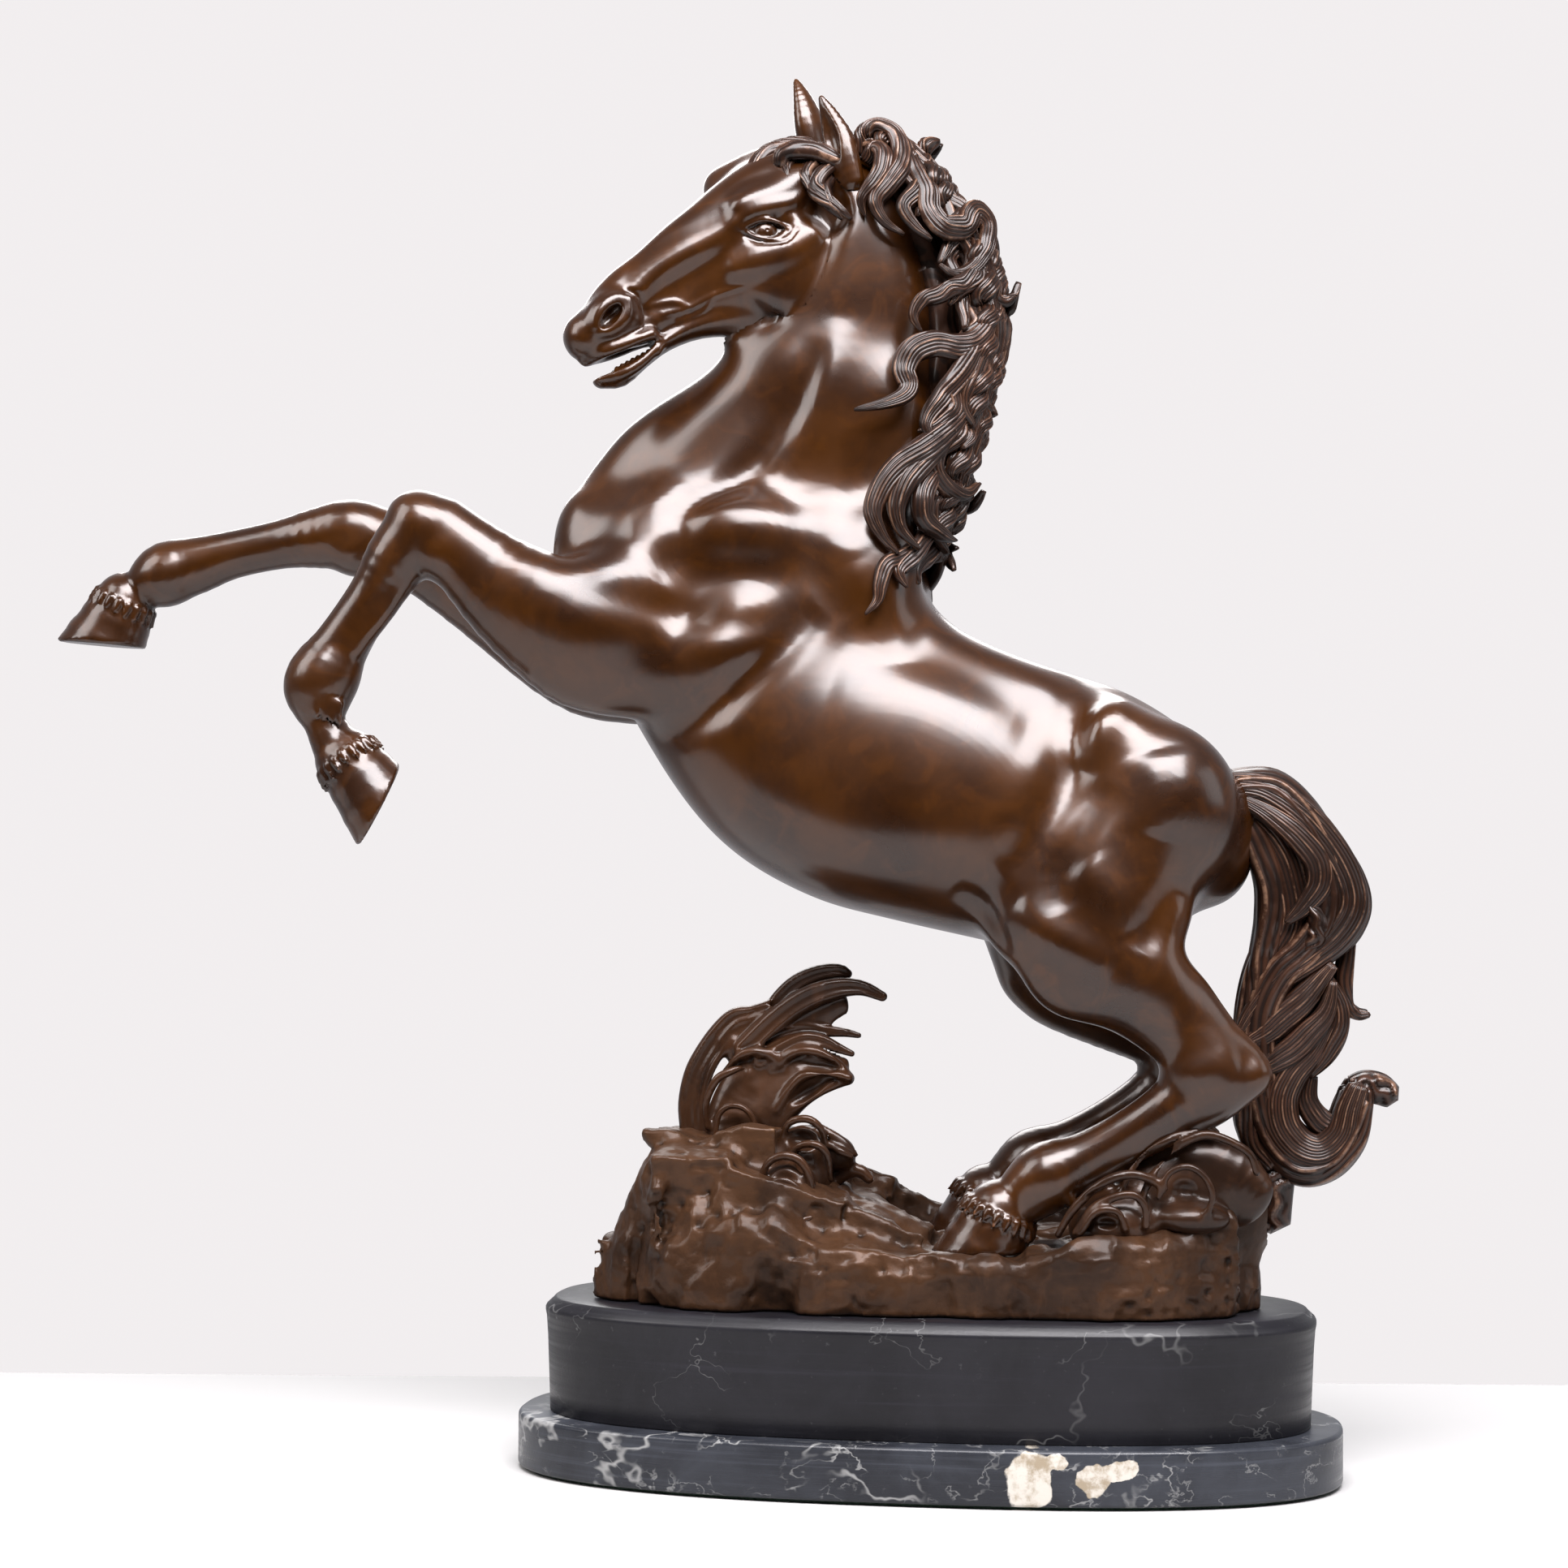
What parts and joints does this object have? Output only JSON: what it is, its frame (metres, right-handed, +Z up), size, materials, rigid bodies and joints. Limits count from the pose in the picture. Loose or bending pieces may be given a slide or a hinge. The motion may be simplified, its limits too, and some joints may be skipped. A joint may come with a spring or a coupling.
{
  "type": "horse statuette",
  "caption": "Rearing bronze horse with a curled mane and tail on a rock-and-wave base, screwed to a two-step oval marble plinth.",
  "frame": {"origin": "centre of the underside of the felt-backed marble plinth", "axes": "+Z up; the horse faces -X, its tail is towards +X; -Y is the horse's left side"},
  "size_m": [0.5103, 0.15, 0.5132],
  "materials": {
    "felt": "matt black felt",
    "slab_marble": "polished black marble with white veins",
    "drum_marble": "polished near-black marble",
    "steel": "plain zinc-plated steel",
    "rock_bronze": "mottled brown patina, semi-matt",
    "wave_bronze": "dark brown patina, rubbed edges",
    "body_bronze": "glossy red-brown patina",
    "mane_bronze": "dark brown patina with rubbed ridges",
    "pin_bronze": "bare cast bronze rod"
  },
  "bodies": {
    "root": {"felt_pad": "felt", "plinth_slab": "slab_marble", "plinth_drum": "drum_marble", "fixing_studs": "steel", "fixing_washers": "steel", "fixing_nuts": "steel", "rock_base": "rock_bronze", "wave_plume": "wave_bronze", "wave_scrolls_front": "wave_bronze", "wave_scrolls_rear": "wave_bronze", "torso": "body_bronze", "neck": "body_bronze", "head": "body_bronze", "ear_left": "body_bronze", "ear_right": "body_bronze", "foreleg_left": "body_bronze", "foreleg_right": "body_bronze", "hind_leg_left": "body_bronze", "hind_leg_right": "body_bronze", "forelock": "mane_bronze", "mane_upper": "mane_bronze", "mane_middle": "mane_bronze", "mane_lower": "mane_bronze", "tail": "mane_bronze", "foreleg_pins": "pin_bronze", "hind_leg_pins": "pin_bronze", "hoof_studs": "pin_bronze", "tail_pin": "pin_bronze", "neck_pins": "pin_bronze"}
  },
  "joints": []
}
